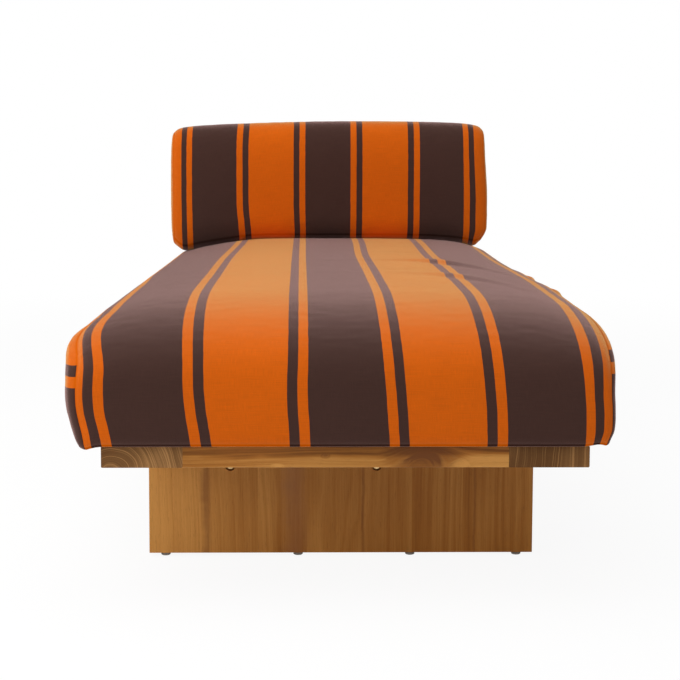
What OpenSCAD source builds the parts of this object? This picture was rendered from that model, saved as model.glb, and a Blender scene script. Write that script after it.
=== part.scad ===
// Chaise longue: a flat teak platform on two solid panel legs, with a loose mattress and a loose
// back cushion. Millimetres, +Z up, foot end at -Y, origin on the floor below the middle of the
// whole object's box.

/* [Platform] */
// Width across both side boards
platform_w = 740; // [660:10:860]
// Length of the side boards
platform_l = 1940; // [1600:20:2100]
// Thickness of the frame boards
board_t = 33; // [28:1:42]
// Width of each frame board
board_w = 123; // [100:1:150]
// Round along the long edges of the boards
edge_r = 2; // [1:0.5:4]

/* [Frame joints] */
// Length of the stub tenons on the cross rails
tenon_l = 34; // [20:2:50]
// Thickness of the stub tenons
tenon_t = 11; // [8:1:14]
// Shoulder beside each tenon
tenon_shoulder = 16; // [10:1:24]
// Play around a tenon in its mortise
joint_fit = 0.1; // [0.05:0.05:0.3]

/* [Slats] */
// Width of a slat
slat_w = 72; // [50:2:100]
// Thickness of a slat
slat_t = 18; // [14:1:20]
// Least gap between two slats
slat_gap = 44; // [36:2:70]
// Width of the ledger strips that carry the slats
ledger_w = 24; // [18:1:32]
// Play at each end of a slat
slat_play = 0.5; // [0.3:0.1:0.8]
// Every how many gaps between slats the ledger has a screw
ledger_screw_step = 3; // [2:1:5]

/* [Legs] */
// Height of a leg panel
leg_h = 200; // [150:2:260]
// Width of a leg panel
leg_w = 647; // [560:1:700]
// Thickness of a leg panel
leg_t = 33; // [26:1:40]
// From the end of the platform to the outer face of a leg
leg_inset = 268; // [180:2:400]
// Height of the cleat behind a leg panel
cleat_h = 90; // [76:2:110]
// Thickness of the cleat
cleat_t = 46; // [40:1:60]
// Length of the cleat
cleat_l = 600; // [580:5:640]

/* [Connector bolts] */
// Places of the two bolts across the leg panel
bolt_x = [-187, 59];
// From the underside of the platform down to the bolts
bolt_drop = 51; // [44:1:64]
// Diameter of the bolt shank
bolt_d = 8; // [6:1:10]
// Diameter of the bolt head
bolt_head_d = 13.5; // [12:0.5:16]
// Thickness of the bolt head
bolt_head_t = 4.5; // [3:0.5:6]
// Diameter of the counterbore for the head
bolt_sink_d = 18; // [17:0.5:22]
// Width across the corners of the hexagon socket
socket_d = 6.4; // [4:0.2:7]
// Diameter of the cross dowel nut
nut_d = 14; // [12:1:18]
// Length of the cross dowel nut
nut_l = 22; // [18:1:30]
// From the face of the cleat to the middle of the nut
nut_inset = 24; // [18:1:26]

/* [Screws] */
// Shank diameter of the screws up into the side boards
cleat_screw_d = 5; // [4:0.5:6]
// Length of those screws
cleat_screw_l = 48; // [40:1:56]
// Wood left over their counterbores
cleat_screw_seat = 26; // [20:1:32]
// Shank diameter of the slat and ledger screws
screw_d = 4; // [3:0.5:4.5]
// Length of the slat screws
slat_screw_l = 28; // [22:1:31]
// Length of the ledger screws
ledger_screw_l = 38; // [30:1:46]

/* [Glides] */
// Places of the glides across the leg panel
glide_x = [-297, -73, 117, 298];
// Diameter of a glide
glide_d = 16; // [12:1:24]
// Height of a glide under the leg
glide_h = 7; // [3:0.5:8]
// Length of the nail on a glide
glide_nail_l = 18; // [12:1:24]

/* [Mattress] */
// How far the seams stand out past each side of the platform
side_overhang = 30; // [15:1:45]
// How far the mattress stands out past each end of the platform
end_overhang = 27; // [10:1:45]
// Height of the mattress at its middle
mattress_h = 203; // [160:1:240]
// How far the side panels swell past their seams
mattress_swell = 14; // [6:1:24]
// Length of the long roll-off at the foot end
front_roll_l = 300; // [200:10:500]
// Height of that roll-off
front_roll_h = 115; // [90:1:135]
// Radius at the other end of the top
rear_round = 60; // [40:1:80]
// Radius of the lower ends
low_round = 20; // [15:1:40]
// How far the seams hang below the platform's top
seam_hang = 5; // [0:0.5:8]

/* [Back cushion] */
// Height of the back cushion
cushion_h = 305; // [240:1:380]
// Thickness of the back cushion at its middle
cushion_t = 175; // [130:1:220]
// From the head end of the mattress to the back of the cushion
cushion_set = 29; // [10:1:60]
// How far its side panels swell past their seams
cushion_swell = 10; // [5:1:20]
// How far its top falls towards the seams
cushion_crown = 10; // [4:1:20]
// How far its lower corners lift off the mattress
corner_lift = 12; // [4:1:24]

/* [Cover] */
// Thickness of the cover cloth
cover_t = 1.5; // [1:0.1:2.5]
// How far a sewn seam draws the cloth in
seam_draw = 2.5; // [1:0.5:5]
// Air between a soft piece and what it rests on
soft_gap = 0.3; // [0.2:0.05:0.5]

/* [Zips] */
// Length of a zip
zip_l = 620; // [400:10:620]
// Width of the zip tape
zip_w = 24; // [18:1:28]
// Width of the row of teeth
teeth_w = 5; // [4:0.5:7]
// Height of the row of teeth on its tape
teeth_t = 1.6; // [1.2:0.1:2.4]
// Length of the slider
slider_l = 13; // [10:0.5:18]
// Width of the slider
slider_w = 10.5; // [9.5:0.5:14]
// Length of the pull
pull_l = 24; // [16:1:32]

/* [Hidden] */
run_fit = 0.3;
pin_fit = 0.1;
screw_fit = 0.05;
nail_d = 2.5;
head_gap = 1.5;
tape_t = 0.7;
tape_gap = 0.1;
stop_l = 4;
plate_t = 1.4;
knuckle_r = 2;
bail_r = 0.9;
ear_t = 1.4;
pull_t = 1.3;

plat_z = glide_h + leg_h;
top_z = plat_z + board_t;
bay_w = platform_w - 2 * board_w;
bay_l = platform_l - 2 * board_w;
leg_y = platform_l / 2 - leg_inset - leg_t / 2;
cleat_y = leg_y - leg_t / 2 - cleat_t / 2;
bolt_z = plat_z - bolt_drop;
bolt_l = leg_t + nut_inset + nut_d / 2 - head_gap;
head_sink = head_gap + bolt_head_t;
bolt_fit = 0.2;

slats_n = floor((bay_l - slat_gap) / (slat_w + slat_gap));
slat_pitch = slat_w + (bay_l - slats_n * slat_w) / (slats_n + 1);
slat_z = top_z - slat_t;
ledger_t = slat_z - plat_z;
ledger_l = bay_l - 2 * slat_play;
ledger_x = bay_w / 2 - ledger_w / 2;
screw_head_d = 2 * screw_d;
screw_head_h = 0.55 * screw_d;
cleat_head_d = 2 * cleat_screw_d;
cleat_screw_x = [for (s = [-1, 1], k = [-11, 11]) s * (bay_w / 2 + 26) + k];

mattress_l = platform_l + 2 * end_overhang;
zip_proud = tape_gap + tape_t + teeth_t + run_fit + plate_t + 2 * knuckle_r + run_fit;
whole_l = mattress_l + zip_proud;
plat_y = -zip_proud / 2;
foot_y = -whole_l / 2;
head_y = foot_y + mattress_l;
seam_x = platform_w / 2 + side_overhang;
soft_z = top_z + soft_gap;
crown_z = soft_z + mattress_h;
cushion_head_y = head_y - cushion_set;
cushion_foot_y = cushion_head_y - cushion_t;
cushion_z = crown_z + soft_gap;
cushion_flat = zip_w + 6;
cushion_ridge = 4;
cushion_low_a = 45;
cushion_low_b = 60;

// Stations across a soft piece, from seam to seam; the last but one clears the platform's edge
station_half = [for (f = [0.4, 0.72, 0.9, 1]) f * (platform_w / 2 + 1)];
stations = concat([-seam_x], [for (i = [3:-1:0]) -station_half[i]], [0], station_half, [seam_x]);

SLATS = [for (i = [1:slats_n]) str("slat_", i < 10 ? "0" : "", i)];

// Rectangle with round corners, drawn as true arcs
module round_rect(w, h, r) {
    square([w - 2 * r, h], center = true);
    square([w, h - 2 * r], center = true);
    for (x = [-1, 1], y = [-1, 1])
        translate([x * (w / 2 - r), y * (h / 2 - r)]) circle(r = r, $fn = 32);
}

// Board along X: length l, width w in Y, thickness t in Z, long edges rounded
module board_along_x(l, w, t, r) {
    rotate([90, 0, 90]) linear_extrude(l, center = true) round_rect(w, t, r);
}

// Board along Y
module board_along_y(l, w, t, r) {
    rotate([90, 0, 0]) linear_extrude(l, center = true) round_rect(w, t, r);
}

// Countersunk wood screw pointing down, its head flush with z = 0
module wood_screw(d, l, head_d, head_h) {
    tip_l = 1.5 * d;
    translate([0, 0, -head_h]) cylinder(d1 = d, d2 = head_d, h = head_h, $fn = 32);
    translate([0, 0, -l + tip_l]) cylinder(d = d, h = l - tip_l - head_h, $fn = 32);
    translate([0, 0, -l]) cylinder(d1 = 0.4, d2 = d, h = tip_l, $fn = 32);
}

// The hole that this screw needs, with its countersink
module screw_hole(d, l, head_d, head_h) {
    straight_hole(d, l);
    translate([0, 0, -head_h - screw_fit])
        cylinder(d1 = d, d2 = head_d + 2 * screw_fit, h = head_h + screw_fit, $fn = 32);
    cylinder(d = head_d + 2 * screw_fit, h = 1, $fn = 32);
}

// Straight hole below z = 0 for a shank of diameter d and length l
module straight_hole(d, l) {
    translate([0, 0, -l - screw_fit]) cylinder(d = d + 2 * screw_fit, h = l + screw_fit + 0.5, $fn = 32);
}

// Places shared by the screws and their holes
function slat_y(i) = (i - (slats_n + 1) / 2) * slat_pitch;

module at_slat_screws(i) {
    for (s = [-1, 1]) translate([s * ledger_x, slat_y(i), top_z]) children();
}

// Ledger screws sit between the slats and point outwards into the side board on side s
module at_ledger_screws(s) {
    for (i = [1:ledger_screw_step:slats_n - 1])
        translate([s * (bay_w / 2 - ledger_w), slat_y(i + 0.5), plat_z + ledger_t / 2])
            rotate([0, -s * 90, 0]) children();
}

// Cleat screws point up; their heads sit in deep counterbores
module at_cleat_screws() {
    for (x = cleat_screw_x)
        translate([x, -cleat_y, plat_z - cleat_screw_seat]) rotate([180, 0, 0]) children();
}

// Side board: one flat board with a mortise at each end, pilot holes for ledger and cleat
module side_board(s) {
    color("peru") translate([0, plat_y, 0]) difference() {
        translate([s * (platform_w - board_w) / 2, 0, plat_z + board_t / 2])
            board_along_y(platform_l, board_w, board_t, edge_r);
        for (y = [-1, 1])
            translate([s * bay_w / 2, y * (platform_l - board_w) / 2, plat_z + board_t / 2])
                cube([2 * (tenon_l + 2 * joint_fit), board_w - 2 * tenon_shoulder + 2 * joint_fit,
                      tenon_t + 2 * joint_fit], center = true);
        at_ledger_screws(s) screw_hole(screw_d, ledger_screw_l, screw_head_d, screw_head_h);
        for (turn = [0, 180]) rotate([0, 0, turn])
            at_cleat_screws() straight_hole(cleat_screw_d, cleat_screw_l);
    }
}

// Cross rail: a board between the side boards with a stub tenon at each end
module cross_rail(s) {
    color("burlywood")
        translate([0, plat_y + s * (platform_l - board_w) / 2, plat_z + board_t / 2]) {
            board_along_x(bay_w, board_w, board_t, edge_r);
            cube([bay_w + 2 * tenon_l, board_w - 2 * tenon_shoulder, tenon_t], center = true);
        }
}

// Ledger strip under the slat ends
module ledger(s) {
    color("tan") translate([0, plat_y, 0]) difference() {
        translate([s * ledger_x, 0, plat_z + ledger_t / 2])
            board_along_y(ledger_l, ledger_w, ledger_t, 1);
        at_ledger_screws(s) screw_hole(screw_d, ledger_screw_l, screw_head_d, screw_head_h);
        for (i = [1:slats_n])
            at_slat_screws(i) screw_hole(screw_d, slat_screw_l, screw_head_d, screw_head_h);
    }
}

// Slat, flush with the top of the boards
module slat(i) {
    color("burlywood") translate([0, plat_y, 0]) difference() {
        translate([0, slat_y(i), slat_z + slat_t / 2])
            board_along_x(bay_w - 2 * slat_play, slat_w, slat_t, edge_r);
        at_slat_screws(i) screw_hole(screw_d, slat_screw_l, screw_head_d, screw_head_h);
    }
}

module slat_screws() {
    color("silver") translate([0, plat_y, 0]) for (i = [1:slats_n])
        at_slat_screws(i) wood_screw(screw_d, slat_screw_l, screw_head_d, screw_head_h);
}

module ledger_screws() {
    color("silver") translate([0, plat_y, 0]) for (s = [-1, 1])
        at_ledger_screws(s) wood_screw(screw_d, ledger_screw_l, screw_head_d, screw_head_h);
}

// The foot-end leg parts are drawn at -Y; turned half round, the same parts make the head end
module at_leg_end(turn) {
    translate([0, plat_y, 0]) rotate([0, 0, turn]) children();
}

// Bolt axis frame: origin on the leg's outer face, +Z of the child running into the wood
module at_leg_bolts() {
    for (x = bolt_x) translate([x, -leg_y - leg_t / 2, bolt_z]) rotate([-90, 0, 0]) children();
}

// Leg panel, glued up from upright staves, with counterbored bolt holes and nail holes
module leg_panel(turn) {
    color("sienna") at_leg_end(turn) difference() {
        translate([0, -leg_y, glide_h]) linear_extrude(leg_h) round_rect(leg_w, leg_t, edge_r);
        at_leg_bolts() {
            translate([0, 0, -1]) cylinder(d = bolt_sink_d, h = 1 + head_sink, $fn = 48);
            cylinder(d = bolt_d + 2 * bolt_fit, h = leg_t + 1, $fn = 48);
        }
        for (x = glide_x)
            translate([x, -leg_y, 0])
                cylinder(d = nail_d + 2 * screw_fit, h = glide_h + glide_nail_l + 1, $fn = 24);
    }
}

// Cleat that ties the leg panel to the side boards
module leg_cleat(turn) {
    color("chocolate") at_leg_end(turn) difference() {
        translate([0, -cleat_y, plat_z - cleat_h / 2]) board_along_x(cleat_l, cleat_t, cleat_h, edge_r);
        at_leg_bolts() cylinder(d = bolt_d + 2 * bolt_fit, h = leg_t + cleat_t + 1, $fn = 48);
        for (x = bolt_x)
            translate([x, -leg_y + leg_t / 2 + nut_inset, plat_z - cleat_h - 1])
                cylinder(d = nut_d + 2 * joint_fit, h = cleat_h - bolt_drop + nut_l / 2 + 1, $fn = 48);
        at_cleat_screws() {
            straight_hole(cleat_screw_d, cleat_screw_l);
            cylinder(d = cleat_head_d + 2, h = cleat_h, $fn = 32);
        }
    }
}

// Brass connector bolts with a hexagon socket, sunk just below the face of the leg
module leg_bolts(turn) {
    color("goldenrod") at_leg_end(turn) at_leg_bolts() translate([0, 0, head_gap])
        difference() {
            union() {
                rotate_extrude($fn = 48) polygon([
                    [0, 0], [bolt_head_d / 2 - 1, 0], [bolt_head_d / 2, 1],
                    [bolt_head_d / 2, bolt_head_t], [0, bolt_head_t]]);
                cylinder(d = bolt_d, h = bolt_l, $fn = 48);
            }
            translate([0, 0, -1]) cylinder(d = socket_d, h = 1 + 0.7 * bolt_head_t, $fn = 6);
        }
}

// Cross dowel nuts, standing upright in the cleat
module leg_nuts(turn) {
    color("silver") at_leg_end(turn) difference() {
        for (x = bolt_x)
            translate([x, -leg_y + leg_t / 2 + nut_inset, bolt_z - nut_l / 2])
                cylinder(d = nut_d, h = nut_l, $fn = 48);
        at_leg_bolts() cylinder(d = bolt_d, h = leg_t + cleat_t, $fn = 48);
    }
}

module cleat_screws(turn) {
    head_h = 0.5 * cleat_screw_d;
    color("silver") at_leg_end(turn) at_cleat_screws() {
        cylinder(d = cleat_head_d, h = head_h, $fn = 32);
        translate([0, 0, -cleat_screw_l + 1.5 * cleat_screw_d])
            cylinder(d = cleat_screw_d, h = cleat_screw_l - 1.5 * cleat_screw_d, $fn = 32);
        translate([0, 0, -cleat_screw_l])
            cylinder(d1 = 0.4, d2 = cleat_screw_d, h = 1.5 * cleat_screw_d, $fn = 32);
    }
}

// Plastic glides: a domed disc on a nail
module glides(turn) {
    color("dimgray") at_leg_end(turn) for (x = glide_x) translate([x, -leg_y, 0]) {
        rotate_extrude($fn = 48) polygon([
            [0, 0], [glide_d / 2 - 1.5, 0], [glide_d / 2, 1.2], [glide_d / 2, glide_h], [0, glide_h]]);
        translate([0, 0, glide_h]) cylinder(d = nail_d, h = glide_nail_l - nail_d, $fn = 24);
        translate([0, 0, glide_h + glide_nail_l - nail_d])
            cylinder(d1 = nail_d, d2 = 0.4, h = nail_d, $fn = 24);
    }
}

// Signed power, and a quarter of a superellipse with half axes a, b and exponent n
function spow(v, e) = sign(v) * pow(abs(v), e);
function quarter(y, z, a, b, n, from, steps) = [for (i = [0:steps])
    let (t = from + 90 * i / steps) [y + a * spow(cos(t), 2 / n), z + b * spow(sin(t), 2 / n)]];

// How far a superellipse of half axes a, b has fallen below b at x
function fall(x, a, b, n) = b * (1 - pow(1 - pow(min(abs(x) / a, 1), n), 1 / n));

// Outline of a soft piece in its length and height, from its lower head end round to its lower foot
// end, in shares of its box: 0 to 1 from foot to head, 0 to 1 from bottom to top
function outline_share(pts, y0, y1, z0, z1) =
    [for (p = pts) [(p[0] - y0) / (y1 - y0), (p[1] - z0) / (z1 - z0)]];

mattress_outline = outline_share(concat(
    quarter(head_y - low_round, soft_z + low_round, low_round, low_round, 2, -90, 4),
    quarter(head_y - rear_round, crown_z - rear_round, rear_round, rear_round, 2.3, 0, 4),
    quarter(foot_y + front_roll_l, crown_z - front_roll_h, front_roll_l, front_roll_h, 2.4, 90, 8),
    quarter(foot_y + low_round, soft_z + low_round, low_round, low_round, 2, 180, 4)),
    foot_y, head_y, soft_z, crown_z);

// The cushion is fullest low down, where the zip lies in a flat stretch of its rear face
cushion_a = cushion_t / 2 - cushion_ridge;
cushion_b = cushion_h - cushion_low_b - cushion_flat;
cushion_low_y = cushion_t / 2 - cushion_low_a;
cushion_outline = outline_share(concat(
    quarter(cushion_low_y, cushion_low_b, cushion_low_a, cushion_low_b, 2.2, -90, 4),
    quarter(cushion_ridge, cushion_h - cushion_b, cushion_a, cushion_b, 4, 0, 7),
    quarter(-cushion_ridge, cushion_h - cushion_b, cushion_a, cushion_b, 4, 90, 7),
    quarter(-cushion_low_y, cushion_low_b, cushion_low_a, cushion_low_b, 2.2, 180, 4)),
    -cushion_t / 2, cushion_t / 2, 0, cushion_h);

// A ring is [x, foot y, head y, low z, high z]; shrink() takes t off it on every side
function shrink(r, t) = [r[0], r[1] + t, r[2] - t, r[3] + t, r[4] - t];
function ring(outline, r) = [for (p = outline)
    [r[0], r[1] + p[0] * (r[2] - r[1]), r[3] + p[1] * (r[4] - r[3])]];

// Rings of the mattress between its seams: flat below, hanging at the seams, crowned on top
function mattress_top(x) = crown_z - fall(x, seam_x + mattress_swell, mattress_h / 2, 5.5);
function end_fall(x, swell) = fall(x, seam_x + swell, 100, 16);
function at_seam(x) = abs(x) > seam_x - 0.01 ? 1 : 0;
function mattress_ring(x) = let (e = end_fall(x, mattress_swell) + at_seam(x) * seam_draw)
    [x, foot_y + e, head_y - e, soft_z - at_seam(x) * seam_hang, mattress_top(x) - at_seam(x) * seam_draw];

// Rings of the back cushion: its lower side follows the mattress's top
function cushion_ring(x) = let (e = end_fall(x, cushion_swell) + at_seam(x) * seam_draw)
    [x, cushion_foot_y + e, cushion_head_y - e,
     mattress_top(x) + soft_gap + at_seam(x) * corner_lift,
     cushion_z + cushion_h - cushion_crown * pow(x / seam_x, 2)
     - fall(x, seam_x + cushion_swell, cushion_h / 2, 18) - at_seam(x) * seam_draw];

// Rings of a side panel on side s, from its seam ring r out to its middle, swelling by b
swell_steps = [0.82, 0.55, 0.22];
function side_rings(r, s, b) =
    let (zm = (r[3] + r[4]) / 2, half = (r[4] - r[3]) / 2, reach = min(half, (r[2] - r[1]) / 2))
    [for (k = swell_steps) let (d = (1 - k) * reach)
        [r[0] + s * b * pow(1 - pow(k, 2.5), 0.4), r[1] + d, r[2] - d, zm - k * half, zm + k * half]];

// Closed solid through a row of like outlines. Its ends are filled by cap, a list of faces, or else
// by the whole outline. From point turned on, its four-cornered patches are split along their other
// diagonal, so that two surfaces that face each other bend alike and stay apart.
module loft(sections, cap = [], turned = 1e6) {
    n = len(sections);
    m = len(sections[0]);
    points = [for (s = sections, p = s) p];
    sides = [for (i = [0:n - 2], j = [0:m - 1]) let (a = i * m + j, b = i * m + (j + 1) % m)
        each j < turned ? [[a, a + m, b + m], [a, b + m, b]] : [[a, a + m, b], [b, a + m, b + m]]];
    near = len(cap) > 0 ? cap : [[for (j = [0:m - 1]) j]];
    far = [for (f = near) [for (k = [len(f) - 1:-1:0]) (n - 1) * m + f[k]]];
    polyhedron(points, concat(sides, near, far));
}

// Filling: foam with a soft wrap, just inside the cover
module filling(outline, rings, b) {
    t = cover_t + soft_gap;
    n = len(rings);
    inner = [for (r = rings) shrink(r, t)];
    left = side_rings(inner[0], -1, b - t);
    loft([for (r = concat([for (i = [2:-1:0]) left[i]], inner, side_rings(inner[n - 1], 1, b - t)))
        ring(outline, r)]);
}

// Strip of cloth over the foot, the top and the head, open below
module cover_strip(outline, rings) {
    m = len(outline);
    cut_edge = [for (j = [0:m - 2]) [j, j + 1, 2 * m - 2 - j, 2 * m - 1 - j]];
    loft([for (r = rings) let (o = ring(outline, r), i = ring(outline, shrink(r, cover_t)))
        concat(o, [for (j = [m - 1:-1:0]) i[j]])], cut_edge, m);
}

// Lower panel, which closes the strip
module cover_base(outline, rings) {
    m = len(outline);
    loft([for (r = rings) let (o = ring(outline, r), i = ring(outline, shrink(r, cover_t)))
        [o[m - 1], o[0], i[0], i[m - 1]]], turned = 0);
}

// Side panel on side s, a shallow shell sewn to strip and base at ring r
module cover_side(outline, r, s, b) {
    outer = side_rings(r, s, b);
    inner = side_rings(shrink(r, cover_t), s, b - cover_t);
    rows = [for (q = concat([for (i = [2:-1:0]) outer[i]], [r, shrink(r, cover_t)], inner)) ring(outline, q)];
    loft(s > 0 ? [for (i = [len(rows) - 1:-1:0]) rows[i]] : rows, turned = 0);
}

mattress_rings = [for (x = stations) mattress_ring(x)];
cushion_rings = [for (x = stations) cushion_ring(x)];
last = len(stations) - 1;

module mattress_core() { color("khaki") filling(mattress_outline, mattress_rings, mattress_swell); }
module mattress_cover_strip() { color("darkorange") cover_strip(mattress_outline, mattress_rings); }
module mattress_cover_base() { color("saddlebrown") cover_base(mattress_outline, mattress_rings); }
module mattress_cover_side(s) {
    color("chocolate")
        cover_side(mattress_outline, mattress_rings[s > 0 ? last : 0], s, mattress_swell);
}

module cushion_core() { color("khaki") filling(cushion_outline, cushion_rings, cushion_swell); }
module cushion_cover_strip() { color("darkorange") cover_strip(cushion_outline, cushion_rings); }
module cushion_cover_base() { color("saddlebrown") cover_base(cushion_outline, cushion_rings); }
module cushion_cover_side(s) {
    color("chocolate") cover_side(cushion_outline, cushion_rings[s > 0 ? last : 0], s, cushion_swell);
}

// Zip frame: x along the zip, +Z of the child pointing away from the cushion's rear face
module at_zip(y, z) { translate([0, y + tape_gap, z]) rotate([-90, 0, 0]) children(); }
module at_mattress_zip() {
    at_zip(head_y, (soft_z + low_round + crown_z - rear_round) / 2) children();
}
module at_cushion_zip() {
    at_zip(cushion_head_y, cushion_z + cushion_low_b + cushion_flat / 2) children();
}

teeth_top = tape_t + teeth_t;
slider_x = zip_l / 2 - stop_l - run_fit - slider_l / 2;
bail_z = teeth_top + run_fit + plate_t + knuckle_r + run_fit;

// Woven tape with its row of teeth and a stop at each end
module zip_tape() {
    color("saddlebrown") {
        translate([-zip_l / 2, -zip_w / 2, 0]) cube([zip_l, zip_w, tape_t]);
        translate([-zip_l / 2, -teeth_w / 2, tape_t]) cube([zip_l, teeth_w, teeth_t]);
        for (s = [-1, 1])
            translate([s * (zip_l - stop_l) / 2, 0, (teeth_top + 0.8) / 2])
                cube([stop_l, teeth_w + 1.6, teeth_top + 0.8], center = true);
    }
}

// Slider body over the teeth, with two ears that hold the pull's pin
module zip_slider() {
    flange_w = (slider_w - teeth_w) / 2 - run_fit;
    ear_gap = teeth_w / 2 + run_fit;
    color("silver") translate([slider_x, 0, 0]) {
        translate([0, 0, teeth_top + run_fit]) linear_extrude(plate_t) round_rect(slider_l, slider_w, 2);
        for (s = [-1, 1]) {
            translate([-slider_l / 2 + 2, s * (slider_w - flange_w) / 2 - flange_w / 2, tape_t + run_fit])
                cube([slider_l - 4, flange_w, teeth_t + 0.5]);
            translate([0, s * (ear_gap + ear_t / 2), bail_z]) rotate([90, 0, 0])
                cylinder(r = knuckle_r, h = ear_t, center = true, $fn = 32);
            translate([-knuckle_r, s * (ear_gap + ear_t / 2) - ear_t / 2, teeth_top + run_fit + plate_t / 2])
                cube([2 * knuckle_r, ear_t, bail_z - teeth_top - run_fit - plate_t / 2]);
        }
        translate([0, 0, bail_z]) rotate([90, 0, 0])
            cylinder(r = bail_r, h = 2 * ear_gap + ear_t, center = true, $fn = 32);
    }
}

// Pull: a knuckle on the pin and a flat tab with a thumb hole, lying along the teeth
module zip_pull() {
    tab_w = teeth_w;
    color("silver") translate([slider_x, 0, bail_z]) difference() {
        union() {
            rotate([90, 0, 0]) cylinder(r = knuckle_r, h = tab_w, center = true, $fn = 32);
            translate([-pull_l / 2, 0, -pull_t / 2]) linear_extrude(pull_t)
                round_rect(pull_l, tab_w, tab_w / 2 - 0.1);
        }
        rotate([90, 0, 0]) cylinder(r = bail_r + pin_fit, h = tab_w + 1, center = true, $fn = 32);
        translate([-pull_l + 4.5, 0, -pull_t]) cylinder(d = 2.4, h = 2 * pull_t, $fn = 32);
    }
}

side_board(-1);  // left_side_board
side_board(1);  // right_side_board
cross_rail(-1);  // front_cross_rail
cross_rail(1);  // rear_cross_rail
ledger(-1);  // left_ledger
ledger(1);  // right_ledger
for (i = [1:slats_n]) slat(i);
slat_screws();
ledger_screws();
leg_panel(0);  // front_leg_panel
leg_panel(180);  // rear_leg_panel
leg_cleat(0);  // front_leg_cleat
leg_cleat(180);  // rear_leg_cleat
leg_bolts(0);  // front_leg_bolts
leg_bolts(180);  // rear_leg_bolts
leg_nuts(0);  // front_leg_nuts
leg_nuts(180);  // rear_leg_nuts
cleat_screws(0);  // front_cleat_screws
cleat_screws(180);  // rear_cleat_screws
glides(0);  // front_glides
glides(180);  // rear_glides
mattress_core();
mattress_cover_strip();
mattress_cover_base();
mattress_cover_side(-1);  // mattress_cover_left
mattress_cover_side(1);  // mattress_cover_right
at_mattress_zip() zip_tape();  // mattress_zip
at_mattress_zip() zip_slider();  // mattress_zip_slider
at_mattress_zip() zip_pull();  // mattress_zip_pull
cushion_core();
cushion_cover_strip();
cushion_cover_base();
cushion_cover_side(-1);  // cushion_cover_left
cushion_cover_side(1);  // cushion_cover_right
at_cushion_zip() zip_tape();  // cushion_zip
at_cushion_zip() zip_slider();  // cushion_zip_slider
at_cushion_zip() zip_pull();  // cushion_zip_pull
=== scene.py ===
"""Looks of a striped chaise longue: a teak platform on panel legs, a loose mattress and a back
cushion.

Metres, +Z up, foot end towards -Y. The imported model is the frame; every piece keeps its place.
"""
import math

import bpy
import numpy as np
from mathutils import Matrix


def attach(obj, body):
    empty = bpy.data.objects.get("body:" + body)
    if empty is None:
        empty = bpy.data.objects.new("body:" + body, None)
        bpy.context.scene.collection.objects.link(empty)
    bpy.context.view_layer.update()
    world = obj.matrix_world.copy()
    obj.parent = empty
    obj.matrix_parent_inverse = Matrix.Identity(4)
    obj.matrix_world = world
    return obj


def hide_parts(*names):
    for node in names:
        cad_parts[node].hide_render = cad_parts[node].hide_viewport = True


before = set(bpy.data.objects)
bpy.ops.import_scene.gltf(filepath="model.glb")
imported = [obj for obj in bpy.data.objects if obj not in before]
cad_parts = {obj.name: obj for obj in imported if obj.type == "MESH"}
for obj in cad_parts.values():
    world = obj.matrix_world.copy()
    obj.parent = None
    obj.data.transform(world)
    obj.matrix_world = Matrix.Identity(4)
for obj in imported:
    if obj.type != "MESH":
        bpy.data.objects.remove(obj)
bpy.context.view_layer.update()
bpy.context.scene.view_settings.view_transform = "Standard"

# Camera
# A long lens a little over the seat, just left of the middle line, looking down the chaise from its
# foot end. Upright lines stay nearly parallel, so a part of the tilt is lens shift.
PICTURE = 680
FOCAL = 1620.0
SENSOR = 36.0
LENS_DROP = 40.0
VIEW_FROM = (-0.0693, -3.3891, 0.6989)
PAN, TILT, ROLL = (math.radians(angle) for angle in (-1.399, 84.399, 0.22))

lens = bpy.data.cameras.new("camera")
lens.sensor_width = SENSOR
lens.lens = FOCAL / PICTURE * SENSOR
lens.shift_y = -LENS_DROP / PICTURE
camera = bpy.data.objects.new("camera", lens)
camera.matrix_world = (Matrix.Translation(VIEW_FROM) @ Matrix.Rotation(PAN, 4, "Z")
                       @ Matrix.Rotation(TILT, 4, "X") @ Matrix.Rotation(ROLL, 4, "Z"))
bpy.context.scene.collection.objects.link(camera)
bpy.context.scene.camera = camera

# Studio
# A white floor that runs into a white backdrop, one broad soft lamp overhead on the left and a
# weaker one in front, each with its place, size and power. The floor keeps the chaise's shadow.
LAMPS = {"overhead": ((-0.9, -0.75, 3.0), (3.4, 3.6), 83.0),
         "front": ((-2.9, -3.3, 1.9), (2.2, 1.8), 56.0)}
LAMPS_AIM = (0.0, -0.3, 0.3)
SKY = 0.38
FLOOR_REACH = 14.0
FLOOR_PAINT = (0.92, 0.92, 0.92)
NEAR_WHITE = 0.92
WHITE_OUT = (1.2, 4.5)


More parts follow.
